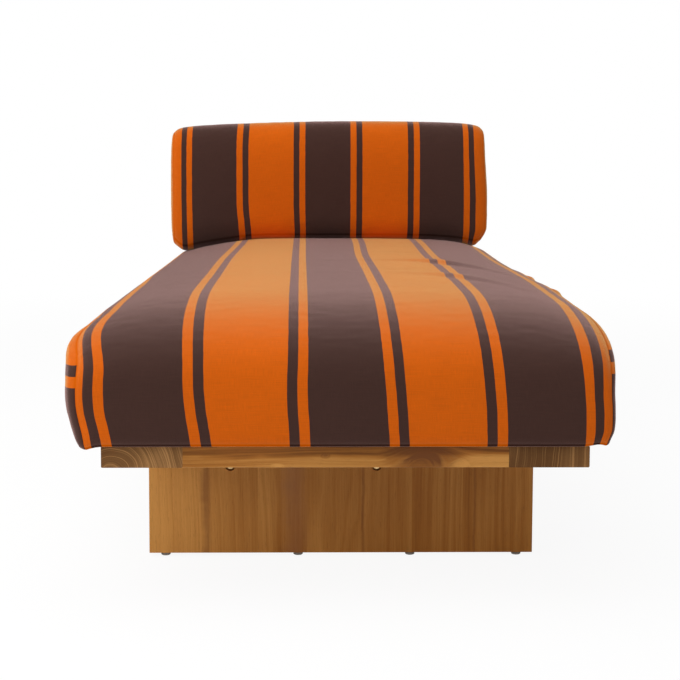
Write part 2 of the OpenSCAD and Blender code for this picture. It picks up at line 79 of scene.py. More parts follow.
class Wire:
    """An output socket. Arithmetic on it adds Math nodes, and node() adds one of another type."""

    def __init__(self, socket):
        self.socket = socket

    def node(self, kind, settings=None, sockets=None, out=0):
        """Adds a node: its settings or a ramp's stops first, then its sockets' values or links."""
        tree = self.socket.id_data
        made = tree.nodes.new("ShaderNode" + kind)
        for name, value in (settings or {}).items():
            if name == "stops":
                ramp = made.color_ramp.elements
                while len(ramp) < len(value):
                    ramp.new(1.0)
                for stop, (place, colour) in zip(ramp, value):
                    stop.position, stop.color = place, (*colour, 1.0)
            else:
                setattr(made, name, value)
        for name, value in (sockets or {}).items():
            socket = made.inputs[name]
            if isinstance(value, Wire):
                tree.links.new(value.socket, socket)
            elif socket.type == "RGBA":
                socket.default_value = (*value, 1.0)
            else:
                socket.default_value = value
        return Wire(made.outputs[out])

    def math(self, operation, *others):
        return self.node("Math", {"operation": operation}, dict(enumerate((self, *others))))

    def __add__(self, other):
        return self.math("ADD", other)

    def __sub__(self, other):
        return self.math("SUBTRACT", other)

    def __rsub__(self, other):
        return self.node("Math", {"operation": "SUBTRACT"}, {0: other, 1: self})

    def __mul__(self, other):
        return self.math("MULTIPLY", other)

    def __truediv__(self, other):
        return self.math("DIVIDE", other)

    def __pow__(self, other):
        return self.math("POWER", other)

    __radd__, __rmul__ = __add__, __mul__

    def rise(self, low, high):
        """0 below low, 1 above high, smooth between them."""
        ends = {"Value": self, "From Min": low, "From Max": high}
        return self.node("MapRange", {"interpolation_type": "SMOOTHSTEP"}, ends)

    def noise(self, scale=1.0, detail=2.0, rough=0.5):
        """Noise of this vector, about 0.5."""
        return self.node("TexNoise", {}, {"Vector": self, "Scale": scale, "Detail": detail,
                                          "Roughness": rough})

    def mix(self, first, second):
        """The colour this share of the way from the first to the second."""
        return self.node("Mix", {"data_type": "RGBA"}, {0: self, 6: first, 7: second}, out=2)

    def split(self):
        """The three numbers of this vector."""
        parts = self.node("SeparateXYZ", {}, {0: self}).socket.node
        return [Wire(output) for output in parts.outputs]


def vector(x, y, z):
    """A vector of three numbers, the first of them a wire."""
    return x.node("CombineXYZ", {}, {0: x, 1: y, 2: z})


def new_finish(name, colour=(0.8, 0.8, 0.8), **constants):
    """A new material with its constants set on the shader, and its Texture Coordinate outputs."""
    material = bpy.data.materials.new(name)
    material.use_nodes = True
    shader = material.node_tree.nodes["Principled BSDF"]
    shader.inputs["Base Color"].default_value = (*colour, 1.0)
    for key, value in constants.items():
        shader.inputs[key.replace("_", " ")].default_value = value
    where = material.node_tree.nodes.new("ShaderNodeTexCoord").outputs
    return material, shader, where


def plug(shader, **wires):
    """Links wires to the shader's sockets."""
    for key, wire in wires.items():
        shader.id_data.links.new(wire.socket, shader.inputs[key.replace("_", " ")])


def white_to_camera(tree, kind, strength):
    """Plain white, and the share of it that a ray sees: all for the camera, metal and glass."""
    path = tree.nodes.new("ShaderNodeLightPath").outputs
    seen = Wire(path["Is Camera Ray"]).math("MAXIMUM", Wire(path["Is Glossy Ray"]))
    seen = seen.math("MAXIMUM", Wire(path["Is Transmission Ray"]))
    return seen, seen.node(kind, {}, {0: (1.0, 1.0, 1.0), 1: strength})


world = bpy.data.worlds.new("studio")
world.use_nodes = True
bpy.context.scene.world = world
seen, white = white_to_camera(world.node_tree, "Background", 1.0)
sky = seen.node("Background", {}, {0: (1.0, 1.0, 1.0), 1: SKY})
sweep = seen.node("MixShader", {}, {0: seen, 1: sky, 2: white})
world.node_tree.links.new(sweep.socket, world.node_tree.nodes["World Output"].inputs[0])

floor_mesh = bpy.data.meshes.new("floor")
floor_mesh.from_pydata([(x * FLOOR_REACH, y * FLOOR_REACH, 0) for x, y in
                        ((-1, -1), (1, -1), (1, 1), (-1, 1))], [], [(0, 1, 2, 3)])
floor = bpy.data.objects.new("floor", floor_mesh)
bpy.context.scene.collection.objects.link(floor)
floor_paint, floor_shader, floor_where = new_finish("floor_paint", FLOOR_PAINT, Roughness=0.9)
seen, white = white_to_camera(floor_paint.node_tree, "Emission", 1.0)
off_x, off_y, _ = Wire(floor_where["Object"]).split()

# Near the chaise the camera sees a little of the floor's own light, so that its shadow shows.
beyond = ((off_x * off_x + off_y * off_y) ** 0.5).rise(*WHITE_OUT)
share = seen * (NEAR_WHITE + beyond * (1 - NEAR_WHITE))
floor_mix = seen.node("MixShader", {}, {0: share, 1: Wire(floor_shader.outputs[0]), 2: white})
floor_output = floor_paint.node_tree.nodes["Material Output"]
floor_paint.node_tree.links.new(floor_mix.socket, floor_output.inputs[0])
floor_mesh.materials.append(floor_paint)

for name, (place, size, power) in LAMPS.items():
    light = bpy.data.lights.new(name, "AREA")
    light.shape = "RECTANGLE"
    light.size, light.size_y = size
    light.energy = power
    lamp = bpy.data.objects.new(name, light)
    aim = np.subtract(LAMPS_AIM, place)
    tip, swing = math.acos(-aim[2] / np.linalg.norm(aim)), math.atan2(aim[1], aim[0]) - math.pi / 2
    lamp.matrix_world = (Matrix.Translation(place) @ Matrix.Rotation(swing, 4, "Z")
                         @ Matrix.Rotation(tip, 4, "X"))
    bpy.context.scene.collection.objects.link(lamp)

# Frame boards
# Flat teak boards: a side board each side with its end grain to the foot, and a cross rail between
# them at each end on stub tenons. Sawn, planed, with softened edges, and oiled.
TEAK_DEEP = (0.150, 0.048, 0.0060)
TEAK_MIDDLE = (0.36, 0.135, 0.021)
TEAK_PALE = (0.58, 0.275, 0.066)
PORE_BROWN = (0.09, 0.038, 0.012)
KNOT_BROWN = (0.150, 0.050, 0.011)
END_DEEP = (0.125, 0.052, 0.014)
END_PALE = (0.46, 0.235, 0.082)
END_PORE = (0.05, 0.028, 0.014)
RING_BEND = 0.030
KNOT_PUSH = 0.016
STREAK_WANDER = (0.008, 0.85)


def teak(name, along, pith, seed, tone=0.0, figure=1.0, staves=None, knots=(), streaks=(),
         overhang_shade=None):
    """Oiled teak.

    Growth rings are bands of uneven width round the pith, a line along the grain, so that an end
    shows them as arcs and a face as long streaks. Slow noise bends them, noise stretched along the
    grain makes the fibres, and short dark dashes are the open pores. A knot pushes the rings apart
    and stains the wood, or pales it if its strength is negative; it is given by its place along
    the grain, its height, its half length, its half height and its strength. A streak is a
    wandering mineral stain, given by its place, half width, colour and strength; it wanders by a
    fixed length and a share of its width. overhang_shade gives the two heights over which a
    painted shade sets in, darkening the wood above them as the shadow of what overhangs it. An end
    is greyer and rougher, with thin pale rings. tone darkens the wood, figure is the contrast of
    its rings, and staves gives the number of the stave at a place across and its tone, painted
    shade included.
    """
    material, shader, where = new_finish(name, Specular_IOR_Level=0.15)
    x, y, z = Wire(where["Object"]).split()
    grain, side, depth = {"x": (x, y, z), "y": (y, x, z), "z": (z, x, y)}[along]
    place, shade, shift = side, tone, seed
    if staves:
        number, shade = staves(side)
        shift = number * 7.3 + seed
        side = number * 0.061 + side

    bend = vector(side * 7, depth * 7, grain * 1.7 + shift).noise(detail=3.0) - 0.5
    ring = ((side - pith[0]) ** 2 + (depth - pith[1]) ** 2) ** 0.5 + bend * RING_BEND
    wander = vector(side * 30, depth * 60, grain * 18 + shift).noise(detail=2.0) - 0.5
    stain, pale = None, 0.0
    for at, height, half_length, half_height, strength in knots:
        near = (((grain - at + wander * 0.02) / half_length) ** 2
                + ((depth - height + wander * 0.012) / half_height) ** 2) ** 0.5
        swirl = 1 - near.rise(0.0, 1.0)
        ring = ring + swirl * KNOT_PUSH
        stain = (swirl * strength if stain is None
                 else (swirl * strength).math("MAXIMUM", stain))
        pale = pale + swirl * -strength

    broad = vector(ring * 75, grain * 0.8 + shift, shift).noise(detail=3.0, rough=0.6)
    narrow = vector(ring * 420, grain * 1.6 + shift, shift).noise(detail=2.0, rough=0.6)
    cloud = vector(side * 9, depth * 9, grain * 2.4 + shift).noise(detail=2.0)
    fibre = vector(side * 900, depth * 900, grain * 14 + shift).noise(detail=3.0, rough=0.6)
    pores = vector(side * 1700, depth * 1700, grain * 70 + shift).noise(detail=1.0)
    pores = pores.rise(0.64, 0.74)
    level = ((broad - 0.5) * (1.5 * figure) + (narrow - 0.5) * (0.75 * figure)
             + (cloud - 0.5) * 0.55 + (fibre - 0.5) * 0.28 + 0.5 - shade)
    # Painted shade: the wood darkens above these heights, standing in for the shadow of what
    # overhangs it.
    if overhang_shade:
        level = level - (depth + wander * 0.010).rise(*overhang_shade) * 0.42
    if knots:
        level = level + pale.math("MAXIMUM", -0.6) * 0.22
    stops = ((0.12, TEAK_DEEP), (0.50, TEAK_MIDDLE), (0.88, TEAK_PALE))
    face = level.node("ValToRGB", {"stops": stops}, {0: level})
    face = (pores * 0.30).mix(face, PORE_BROWN)
    if stain:
        face = ((narrow - 0.2) * stain).mix(face, KNOT_BROWN)
    for at, half_width, colour, strength in streaks:
        drift = vector(grain * 11 + at * 50, shift, at).noise(detail=4.0, rough=0.6) - 0.5
        edge = vector(side * 260, shift, grain * 9).noise(detail=2.0) * 0.7 + 0.65
        astray = drift * (STREAK_WANDER[0] + STREAK_WANDER[1] * half_width)
        off = (place - at + astray).math("ABSOLUTE") / (edge * half_width)
        near = 1 - off.rise(0.1, 1.0)
        face = (near * (drift * 1.6 + 0.9) * (fibre * 0.5 + 0.75) * strength).mix(face, colour)

    across = Wire(where["Normal"]).split()["xyz".index(along)].math("ABSOLUTE").rise(0.6, 0.9)
    ring_line = vector(ring * 520, grain * 0.5 + shift, shift).noise(detail=2.0, rough=0.7)
    ring_line = ring_line.rise(0.45, 0.66)
    dots = vector(side * 1100, depth * 1100, grain * 30 + shift).noise(detail=1.0)
    end = ring_line * 0.40 + (cloud - 0.5) * 1.3 + (broad - 0.5) * 0.5 + 0.28 - shade
    end = end.rise(0.0, 1.0).mix(END_DEEP, END_PALE)
    end = (dots.rise(0.58, 0.70) * 0.30).mix(end, END_PORE)
    rough = 0.46 + (fibre - 0.5) * 0.25 + pores * 0.12 + across * 0.22
    height = fibre * 0.4 + narrow * 0.4 - pores * 0.6
    relief = height.node("Bump", {}, {"Height": height, "Distance": 0.0003, "Strength": 0.6})
    plug(shader, Base_Color=across.mix(face, end), Roughness=rough, Normal=relief)
    return material


def dress(material, *nodes):
    """Gives CAD nodes their finish."""
    for node in nodes:
        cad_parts[node].data.materials.clear()
        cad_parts[node].data.materials.append(material)


dress(teak("teak_left_board", "y", (-0.357, 0.201), 2.1, 0.02), "left_side_board")
dress(teak("teak_right_board", "y", (-1.60, 0.226), 5.3, 0.10), "right_side_board")
RAIL_KNOTS = ((0.118, 0.224, 0.074, 0.036, 2.9), (0.172, 0.2125, 0.020, 0.010, -2.4),
              (-0.034, 0.224, 0.010, 0.006, 1.8), (-0.104, 0.2085, 0.014, 0.006, -1.6))
# Painted shade along the rail's upper edge, where the mattress overhangs and shades it.
RAIL_OVERHANG_SHADE = (0.219, 0.229)
dress(teak("teak_front_rail", "x", (-0.90, 0.267), 8.2, -0.22, knots=RAIL_KNOTS,
           overhang_shade=RAIL_OVERHANG_SHADE), "front_cross_rail")
dress(teak("teak_rear_rail", "x", (0.95, 0.12), 9.4, -0.08), "rear_cross_rail")

# Slats and ledgers
# Teak slats laid across the bay on two ledger strips, all screwed down. The mattress hides them
# except from below.
SLAT_TONES = (-0.12, 0.08, -0.02, 0.14)
slats = sorted(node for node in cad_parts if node[:5] == "slat_" and node[5:].isdigit())
for turn, tone in enumerate(SLAT_TONES):
    slat_finish = teak(f"teak_slat_{turn + 1}", "x", (0.4 * turn - 0.5, 0.1), 11.0 + 3 * turn, tone)
    dress(slat_finish, *slats[turn::len(SLAT_TONES)])
dress(teak("teak_ledger", "y", (0.5, 0.3), 31.0, 0.05), "left_ledger", "right_ledger")

# Leg panels and cleats
# Each leg is a panel glued up from seven upright staves of differing tone, with painted shade
# that darkens the staves towards the right, away from the light on the left. A cleat behind it
# ties it to the side boards.
STAVE_EDGES = (-0.225, -0.141, -0.058, 0.033, 0.119, 0.205)
# Each stave's tone: its own, plus painted shade that grows from the left stave to the right one.
STAVE_TONE_AND_SHADE = (-0.34, -0.20, -0.15, -0.19, -0.10, -0.09, -0.07)
MINERAL, MAUVE = (0.150, 0.042, 0.010), (0.29, 0.128, 0.066)
LEG_STREAKS = ((-0.228, 0.012, MINERAL, 0.62), (-0.080, 0.030, MAUVE, 0.42),
               (0.036, 0.004, MINERAL, 0.5), (0.225, 0.003, MINERAL, 0.4))
LEG_FIGURE = 0.42


def panel_staves(side):
    """The number of the stave at a place across the panel, and that stave's tone with its painted
    shade.
    """
    number, shade = 0.0, STAVE_TONE_AND_SHADE[0]
    for edge, before, after in zip(STAVE_EDGES, STAVE_TONE_AND_SHADE, STAVE_TONE_AND_SHADE[1:]):
        past = side.math("GREATER_THAN", edge)
        number, shade = past + number, past * (after - before) + shade
    return number, shade


dress(teak("teak_front_leg", "z", (0.1, -1.10), 14.6, figure=LEG_FIGURE, staves=panel_staves,
           streaks=LEG_STREAKS), "front_leg_panel")
dress(teak("teak_rear_leg", "z", (0.1, 1.10), 19.2, figure=LEG_FIGURE, staves=panel_staves),
      "rear_leg_panel")
dress(teak("teak_cleat", "x", (-0.2, 0.05), 23.0, 0.15), "front_leg_cleat", "rear_leg_cleat")

# Bolts, nuts, screws and glides
# Turned brass connector bolts with a dark socket, zinc-plated screws and cross dowel nuts, and
# moulded plastic glides nailed under the legs.
BRASS, ZINC = (0.80, 0.56, 0.27), (0.60, 0.61, 0.60)
GLIDE_DARK, GLIDE_PALE = (0.30, 0.265, 0.23), (0.42, 0.375, 0.33)
TARNISH = 0.55


def metal(name, colour, rough, marks_scale):
    """Metal with fine tool marks, and darker where it has tarnished."""
    material, shader, where = new_finish(name, Metallic=1.0)
    spot = Wire(where["Object"])
    marks, stain = spot.noise(marks_scale, 3.0, 0.7), spot.noise(60.0)
    tarnished = tuple(TARNISH * part for part in colour)
    relief = marks.node("Bump", {}, {"Height": marks, "Distance": 0.0001, "Strength": 0.3})
    plug(shader, Base_Color=stain.rise(0.45, 0.75).mix(colour, tarnished),
         Roughness=marks * 0.15 + rough, Normal=relief)
    return material


dress(metal("brass", BRASS, 0.28, 1800.0), "front_leg_bolts", "rear_leg_bolts")
dress(metal("zinc_plate", ZINC, 0.35, 900.0), "slat_screws", "ledger_screws",
      "front_leg_nuts", "rear_leg_nuts", "front_cleat_screws", "rear_cleat_screws")
glide_finish, glide_shader, glide_where = new_finish("glide_plastic", Specular_IOR_Level=0.4)
mottle = Wire(glide_where["Object"]).noise(900.0)
plug(glide_shader, Base_Color=mottle.mix(GLIDE_DARK, GLIDE_PALE), Roughness=mottle * 0.2 + 0.5)
dress(glide_finish, "front_glides", "rear_glides")

# Mattress
# A loose foam mattress in a striped canvas cover: one strip over foot, top and head, and a side
# panel each side with its own lengthwise stripes. Plain seams draw the cloth in along each side.
SEAM_X = 0.400
FOOT_Y, HEAD_Y = -1.0012, 0.9928
SOFT_Z, CROWN_Z = 0.2403, 0.4433
ROLL_L, ROLL_H, REAR_R, LOW_R = 0.300, 0.115, 0.060, 0.020
ROLL_CORNER = (FOOT_Y + 0.035, 0.4045)
MITRE = 0.3
HANG_FROM, HANG = 0.372, 0.006
ALONG, UP, MATTRESS_EVEN = 130, 22, 23
MATTRESS_NEAR_SEAM = (0, 0.003, 0.007, 0.012, 0.018, 0.026, 0.036, 0.048, 0.062)
MATTRESS_SWELL, MATTRESS_REACH = 0.014, 0.1
CORNER_FALL = 0.1015
SEAM_DRAW, SEAM_SOFT = 0.0020, 0.006
STRIPE_REPEAT = 0.300
STRIPE_EDGES = (0.0595, 0.075, 0.0905)
STRIPE_BLUR = 0.0003
YARNS = {"brown": ((0.050, 0.0225, 0.0170), 0.70, (1.0, 0.62, 0.57)),
         "orange": ((0.60, 0.102, 0.0010), 0.70, (1.0, 0.88, 0.38))}
# Painted shade for the seams and the turned-under edges: each yarn's colour, darker.
SEAM_SHADE_BROWN, SEAM_SHADE_ORANGE = (0.041, 0.0185, 0.014), (0.53, 0.091, 0.001)
FUZZ = 0.40
THREAD = 0.0008
FRAMES = 20
PRESSURE = 4.0
UNEVEN = 0.00025
SLIDE_CAP = 0.024
MATTRESS_FIRM, MATTRESS_SLACK = 0.22, 0.0008
ZIP_HELD_X, ZIP_HELD_Z = 0.34, 0.03
MATTRESS_ZIP_Z = 0.3215
LEFT_STRIPES_Z, RIGHT_STRIPES_Z = 0.2690, 0.2890
FOLDS = ((0.000, 0.0080, 0.022), (-0.360, 0.0045, 0.026))
PUFFS = ((-0.05, 1), (-0.20, -0.5), (-0.36, 0.8))


def quarter(y, z, a, b, power, start):
    """A quarter of a superellipse round (y, z), turning back from start + 90 to start degrees:
    a times the cosine and b times the sine, each to the power 2 / power."""
    turn = np.radians(start + np.linspace(90, 0, 160))
    c, s = np.cos(turn), np.sin(turn)
    return np.stack([y + a * np.sign(c) * np.abs(c) ** (2 / power),
                     z + b * np.sign(s) * np.abs(s) ** (2 / power)], 1)


def fall(x, half, drop, power):
    """How far a superellipse with those half axes has sunk below its top at x: its height times
    1 - (1 - (x / half)^power)^(1 / power)."""
    return drop * (1 - (1 - np.minimum(np.abs(x) / half, 1) ** power) ** (1 / power))


def corner_fall(x):
    """How far the mattress's top has sunk at x, half its height at the side panels."""
    return fall(x, SEAM_X + MATTRESS_SWELL, CORNER_FALL, 5.5)


def end_fall(x, swell):
    """How much shorter a cover is at each end at x."""
    return fall(x, SEAM_X + swell, 0.1, 16)


def drawn_in(x):
    """How far the side seams draw the cloth in at x."""
    return SEAM_DRAW * np.exp(-(SEAM_X - np.abs(x)) / SEAM_SOFT)


def eased(steps, ease):
    """0 to 1 in that many steps, which are shorter at both ends: a share of a half cosine."""
    t = np.linspace(0, 1, steps + 1)
    return (1 - ease) * t + ease * (0.5 - 0.5 * np.cos(math.pi * t))


def seam_columns(middle, near):
    """Places across the cloth from seam to seam: at the given distances near a seam, then even."""
    right = np.concatenate([np.linspace(0, SEAM_X - near[-1], middle, endpoint=False),
                            SEAM_X - np.array(near[::-1])])
    return np.concatenate([-right[:0:-1], right])


def round_outline(path, corners, along, up):
    """Points round a closed outline, given as (y, z) rows from its lower foot end over the top to
    its lower head end. The four corner points are the nearest to the given ones; between them the
    foot and head edges get `up` steps and the top and bottom `along` steps. Returns the points in
    order from the lower foot corner, and their distance along the cloth."""
    loop = np.vstack([path, path[:1]])
    run = np.concatenate([[0], np.cumsum(np.linalg.norm(np.diff(loop, axis=0), axis=1))])
    low_foot, top_foot, top_head, low_head = (
        run[np.argmin(np.linalg.norm(path - corner, axis=1))] for corner in corners)
    rise, over = eased(up, 0.5), eased(along, 0.6)
    stops = np.concatenate([low_foot + rise[:-1] * (top_foot - low_foot),
                            top_foot + over[:-1] * (top_head - top_foot),
                            top_head + rise[:-1] * (low_head - top_head),
                            low_head + over * (low_foot + run[-1] - low_head)])
    wrapped = stops % run[-1]
    points = [np.interp(wrapped, run, loop[:, axis]) for axis in (0, 1)]
    return np.stack(points, 1), stops


def patches(grid):
    """The four corners of every cell of a grid, in order round the cell."""
    return np.stack([grid[:-1, :-1], grid[:-1, 1:], grid[1:, 1:], grid[1:, :-1]], 2)


def cover(name, points, run, along, up, columns, ring_box, swell, reach, strip_cloth, side_cloth,
          lie):
    """The whole cover of a mattress or cushion as one closed mesh with the UV map 'cloth'.

    The strip is the outline's points, scaled at each column x to the box that ring_box(x) gives. A
    side panel is the Coons patch between its four edges; it stands out by swell times
    (1 - k^2.5)^0.4, where k falls from 1 at the seam to 0 at the distance reach from it. lie(x, y,
    z) gives how far each point is then moved. The UV map holds metres across and along the cloth's
    stripes: strip_cloth(x, y) gives those across the strip, and side_cloth(sign, y, z) both for a
    side panel. The attribute 'sewn' is 1 on the side seams and where the strip turns under
    at its foot and head ends, and 0 at the next points; the canvas puts its painted shade there.
    """
    count, width = len(points) - 1, len(columns)
    low, high = points[:-1].min(0), points[:-1].max(0)
    share = (points[:-1] - low) / (high - low)
    y0, y1, z0, z1 = ring_box(columns)
    strip = np.empty((count, width, 3))
    strip[..., 0] = columns
    strip[..., 1] = y0 + share[:, :1] * (y1 - y0)
    strip[..., 2] = z0 + share[:, 1:] * (z1 - z0)
    laid = strip_cloth(strip[..., 0], strip[..., 1])
    strip_uv = np.stack(np.broadcast_arrays(np.vstack([laid, laid[:1]]), run[:, None]), -1)
    number = np.arange(count * width).reshape(count, width)
    number = np.vstack([number, number[:1]])
    verts, faces, uvs = [strip.reshape(-1, 3)], [patches(number)], [patches(strip_uv)]
    a, b = np.linspace(0, 1, along + 1)[:, None, None], np.linspace(0, 1, up + 1)[None, :, None]
    edge = np.arange(count + 1) % count
    foot, top = edge[:up + 1], edge[up:up + along + 1]
    head, base = edge[up + along:2 * up + along + 1][::-1], edge[2 * up + along:][::-1]
    for sign, column in ((-1, 0), (1, width - 1)):
        seam = strip[:, column, 1:]
        f, h, t, d = seam[foot][None], seam[head][None], seam[top][:, None], seam[base][:, None]
        flat = ((1 - b) * d + b * t + (1 - a) * f + a * h
                - (1 - a) * ((1 - b) * d[:1] + b * t[:1])
                - a * ((1 - b) * d[-1:] + b * t[-1:]))
        away = np.sqrt(((flat[:, :, None] - seam[None, None]) ** 2).sum(-1)).min(-1)
        out = swell * (1 - (1 - np.minimum(away / reach, 1)) ** 2.5) ** 0.4
        panel = np.concatenate([sign * (SEAM_X + out)[..., None], flat], -1)
        ids = np.zeros((along + 1, up + 1), int)
        ids[1:-1, 1:-1] = (sum(len(group) for group in verts)
                           + np.arange((along - 1) * (up - 1)).reshape(along - 1, up - 1))
        ids[0], ids[-1] = number[foot, column], number[head, column]
        ids[:, -1], ids[:, 0] = number[top, column], number[base, column]
        panel_uv = np.stack(side_cloth(sign, panel[..., 1], panel[..., 2]), -1)
        faces.append(patches(ids).reshape(-1, 4)[:, ::-sign])
        uvs.append(patches(panel_uv).reshape(-1, 4, 2)[:, ::-sign])
        verts.append(panel[1:-1, 1:-1].reshape(-1, 3))
    faces = np.vstack([group.reshape(-1, 4) for group in faces])
    uvs = np.vstack([group.reshape(-1, 4, 2) for group in uvs])
    verts = np.vstack(verts)
    verts += lie(*verts.T)
    mesh = bpy.data.meshes.new(name)
    mesh.from_pydata(verts, [], faces.tolist())
    mesh.uv_layers.new(name="cloth").data.foreach_set("uv", uvs.ravel().astype(np.float32))
    # Painted shade goes on the side seams and on the rows where the strip turns under at its ends.
    sewn = np.zeros(len(verts), np.float32)
    sewn[number[:, [0, -1]]] = 1
    sewn[number[[0, -2, 2 * up + along, 2 * up + along + 1]]] = 1
    mesh.attributes.new("sewn", "FLOAT", "POINT").data.foreach_set("value", sewn)
    mesh.polygons.foreach_set("use_smooth", np.ones(len(faces), bool))
    mesh.update()
    piece = bpy.data.objects.new(name, mesh)
    bpy.context.scene.collection.objects.link(piece)
    return piece


def canvas(name):
    """Striped outdoor canvas: brown and orange yarn in plain weave, a bump at each thread crossing,
    uneven threads that vary in tone across and along, and fuzz that pales each yarn at a
    glancing angle. YARNS gives each yarn's colour, how much fuzz it has and the fuzz's colour.
    On its seams and where it turns under, the cloth is darkened by painted shade and has no fuzz."""
    material, _, where = new_finish(name)
    across, along, _ = Wire(where["UV"]).split()
    threads = vector(across * 1400, along * 60, 0.0).noise(detail=2.0)
    slubs = vector(across * 25, along * 1100, 3.0).noise(detail=3.0, rough=0.6)
    cloud = Wire(where["Object"]).noise(7.0, 3.0)
    band = (threads - 0.5) * 0.0006 + across.math("PINGPONG", STRIPE_REPEAT / 2)
    first, second, third = (band.rise(edge - STRIPE_BLUR, edge + STRIPE_BLUR)
                            for edge in STRIPE_EDGES)
    tone = 1 + (threads - 0.5) * 0.36 + (slubs - 0.5) * 0.42 + (cloud - 0.5) * 0.16
    weft, warp = (way * (math.pi / THREAD) for way in (across, along))
    crossing = weft.math("SINE") * warp.math("SINE")
    height = crossing * 0.5 + slubs * 0.8 + threads * 0.4
    relief = height.node("Bump", {}, {"Height": height, "Distance": 0.00022, "Strength": 0.8})
    rough = 0.84 + (slubs - 0.5) * 0.15
    yarns = []
    for colour, fuzz, fuzz_colour in YARNS.values():
        dyed = tone.node("VectorMath", {"operation": "SCALE"}, {0: colour, "Scale": tone})
        yarns.append(tone.node("BsdfPrincipled", {}, {
            "Base Color": dyed, "Roughness": rough, "Normal": relief, "Specular IOR Level": 0.08,
            "Sheen Weight": fuzz, "Sheen Roughness": FUZZ, "Sheen Tint": fuzz_colour}))
    striped = first - second + third
    woven = band.node("MixShader", {}, {0: striped, 1: yarns[0], 2: yarns[1]})
    # Painted shade: each yarn a little darker, with no fuzz or gloss, on the seams and where the
    # cloth turns under.
    shaded_seam = band.node("BsdfPrincipled", {}, {
        "Base Color": striped.mix(SEAM_SHADE_BROWN, SEAM_SHADE_ORANGE), "Roughness": 0.95,
        "Specular IOR Level": 0.0})
    sewn = band.node("Attribute", {"attribute_name": "sewn"}, {}, out=2) ** 3
    woven = band.node("MixShader", {}, {0: sewn, 1: woven, 2: shaded_seam})
    tree = material.node_tree
    tree.nodes.remove(tree.nodes["Principled BSDF"])
    tree.links.new(woven.socket, tree.nodes["Material Output"].inputs[0])
    return material


def mattress_box(x):
    """The mattress's box at x, foot, head, low and top: crowned, a little shorter towards the
    seams, drawn in at them, and hanging past the platform's edge."""
    draw = drawn_in(x)
    ends = end_fall(x, MATTRESS_SWELL) + draw
    hang = HANG * np.clip((np.abs(x) - HANG_FROM) / (SEAM_X - HANG_FROM), 0, 1) ** 2
    top = CROWN_Z - corner_fall(x)
    return FOOT_Y + ends, HEAD_Y - ends, SOFT_Z - hang, top - draw


def firmness(piece, rows, columns, soft, rests_at, back_y, zip_z):
    """How firmly each point of a cover is held, 0 to 1: fully on the side seams, where it rests
    below the height rests_at(x), and round the zip in its head-end face; elsewhere by soft."""
    shown = np.empty(len(piece.data.vertices) * 3)
    piece.data.vertices.foreach_get("co", shown)
    x, y, z = shown.reshape(-1, 3).T
    hold = np.full(len(x), soft)
    seams = np.arange(rows * columns) % columns
    hold[:rows * columns][(seams == 0) | (seams == columns - 1)] = 1
    hold[z < rests_at(x)] = 1
    hold[(y > back_y) & (np.abs(x) < ZIP_HELD_X) & (np.abs(z - zip_z) < ZIP_HELD_Z)] = 1
    return hold


def plump(piece, hold, slack, seed):
    """The cover takes up its filling's pressure in a short cloth simulation, whose result is kept.

    hold says how firmly the filling or a seam holds each point, 0 to 1. slack is how much longer
    than its filling the cloth is cut, so that it buckles a little, from a start that is uneven by
    about UNEVEN. No point moves further than SLIDE_CAP. Then each face is split in four and
    smoothed.
    """
    mesh = piece.data
    cut = np.empty(len(mesh.vertices) * 3)
    mesh.vertices.foreach_get("co", cut)
    cut = cut.reshape(-1, 3)
    uneven = np.random.default_rng(seed).normal(0, UNEVEN, cut.shape)
    start = cut + uneven * (hold < 1)[:, None]
    mesh.vertices.foreach_set("co", start.ravel())
    held = piece.vertex_groups.new(name="held")
    for level in np.unique(hold):
        held.add(np.nonzero(hold == level)[0].tolist(), float(level), "REPLACE")
    cloth = piece.modifiers.new("cloth", "CLOTH")
    cloth.point_cache.frame_start, cloth.point_cache.frame_end = 1, FRAMES
    fabric = cloth.settings
    fabric.quality, fabric.mass, fabric.air_damping = 4, 0.15, 2.0
    fabric.tension_stiffness = fabric.compression_stiffness = 25.0
    fabric.shear_stiffness, fabric.bending_stiffness = 8.0, 12.0
    fabric.use_pressure, fabric.uniform_pressure_force = True, PRESSURE
    fabric.vertex_group_mass, fabric.pin_stiffness = "held", 1.0
    fabric.shrink_min = -slack
    fabric.effector_weights.gravity = 0.0
    for number in range(1, FRAMES + 1):
        bpy.context.scene.frame_set(number)
    shaped = piece.evaluated_get(bpy.context.evaluated_depsgraph_get()).data
    move = np.empty(cut.size)
    shaped.vertices.foreach_get("co", move)
    move = move.reshape(-1, 3) - cut
    far = np.linalg.norm(move, axis=1, keepdims=True)
    cut = cut + move * np.minimum(1, SLIDE_CAP / np.maximum(far, 1e-9))
    piece.modifiers.remove(cloth)
    piece.vertex_groups.remove(held)
    bpy.context.scene.frame_set(1)
    mesh.vertices.foreach_set("co", cut.ravel())
    mesh.update()
    finer = piece.modifiers.new("finer", "SUBSURF")
    finer.levels = finer.render_levels = 1


def ramp(value, low, high):
    """0 below low, 1 above high, and 3t^2 - 2t^3 between them; high may be the lower one."""
    t = np.clip((value - low) / (high - low), 0, 1)
    return t * t * (3 - 2 * t)


def bell(value, middle, width):
    """1 at the middle, falling off both ways as e^-(distance / width)^2."""
    return np.exp(-((value - middle) / width) ** 2)


